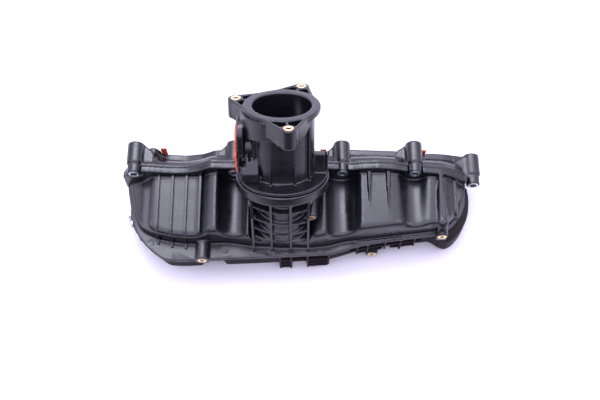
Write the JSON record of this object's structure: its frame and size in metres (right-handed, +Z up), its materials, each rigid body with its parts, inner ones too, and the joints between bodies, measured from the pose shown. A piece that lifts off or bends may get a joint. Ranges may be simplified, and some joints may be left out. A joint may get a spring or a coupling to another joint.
{
  "type": "intake manifold",
  "caption": "Black plastic intake manifold with a leaning round inlet neck, welded shells, side gas flange, port gaskets and swirl flaps turned by a crank linkage.",
  "frame": {"origin": "on the ground under the middle of the whole manifold, which lies on its plenum shell", "axes": "+X along the row of cylinders, from the flap lever's end; +Y towards the cylinder head, square to the head face; +Z up, square to the lower weld plane"},
  "size_m": [0.3684, 0.1588, 0.1836],
  "materials": {
    "body_plastic": "glass-filled nylon with a dull sheen",
    "flap_plastic": "moulded",
    "actuator_plastic": "moulded",
    "gasket_silicone": "smooth",
    "sleeve_steel": "zinc plated",
    "linkage_steel": "turned and stamped",
    "insert_brass": "turned"
  },
  "bodies": {
    "manifold": {"plenum_shell": "body_plastic", "runner_shell": "body_plastic", "head_flange_shell": "body_plastic", "inlet_neck": "body_plastic", "egr_gasket": "gasket_silicone", "port_gasket_1": "gasket_silicone", "port_gasket_2": "gasket_silicone", "port_gasket_3": "gasket_silicone", "port_gasket_4": "gasket_silicone", "upper_sleeve_1": "sleeve_steel", "upper_sleeve_2": "sleeve_steel", "upper_sleeve_3": "sleeve_steel", "upper_sleeve_4": "sleeve_steel", "upper_sleeve_5": "sleeve_steel", "lower_sleeve_1": "sleeve_steel", "lower_sleeve_2": "sleeve_steel", "lower_sleeve_3": "sleeve_steel", "inlet_insert_1": "insert_brass", "inlet_insert_2": "insert_brass", "inlet_insert_3": "insert_brass", "egr_insert_1": "insert_brass", "egr_insert_2": "insert_brass", "body_insert_1": "insert_brass", "body_insert_2": "insert_brass", "body_insert_3": "insert_brass", "body_insert_4": "insert_brass", "shaft_bush_1": "insert_brass", "shaft_bush_2": "insert_brass", "actuator_housing": "actuator_plastic", "actuator_cover": "actuator_plastic", "actuator_screw_1": "linkage_steel", "actuator_screw_2": "linkage_steel"},
    "flap_train": {"flap_shaft": "linkage_steel", "swirl_flap_1": "flap_plastic", "swirl_flap_2": "flap_plastic", "swirl_flap_3": "flap_plastic", "swirl_flap_4": "flap_plastic", "shaft_lever": "linkage_steel"},
    "crank": {"actuator_crank": "linkage_steel"},
    "link": {"link_rod": "linkage_steel"}
  },
  "joints": [
    {"name": "crank_turn", "type": "hinge", "parent": "manifold", "child": "crank", "pos_m": [-0.1712, -0.01799, 0.015], "axis": [1, 0, 0], "range_deg": [0, 85]},
    {"name": "flap_turn", "type": "hinge", "parent": "manifold", "child": "flap_train", "pos_m": [-0.0012, 0.02601, 0.027], "axis": [1, 0, 0], "range_deg": [0, 85]},
    {"name": "link_swing", "type": "hinge", "parent": "crank", "child": "link", "pos_m": [-0.1752, -0.02188, 0.00744], "axis": [1, 0, 0], "range_deg": [-85, 0]}
  ],
  "couplings": [
    {"joint": "flap_turn", "follows": "crank_turn", "ratio": 1},
    {"joint": "link_swing", "follows": "crank_turn", "ratio": -1}
  ]
}
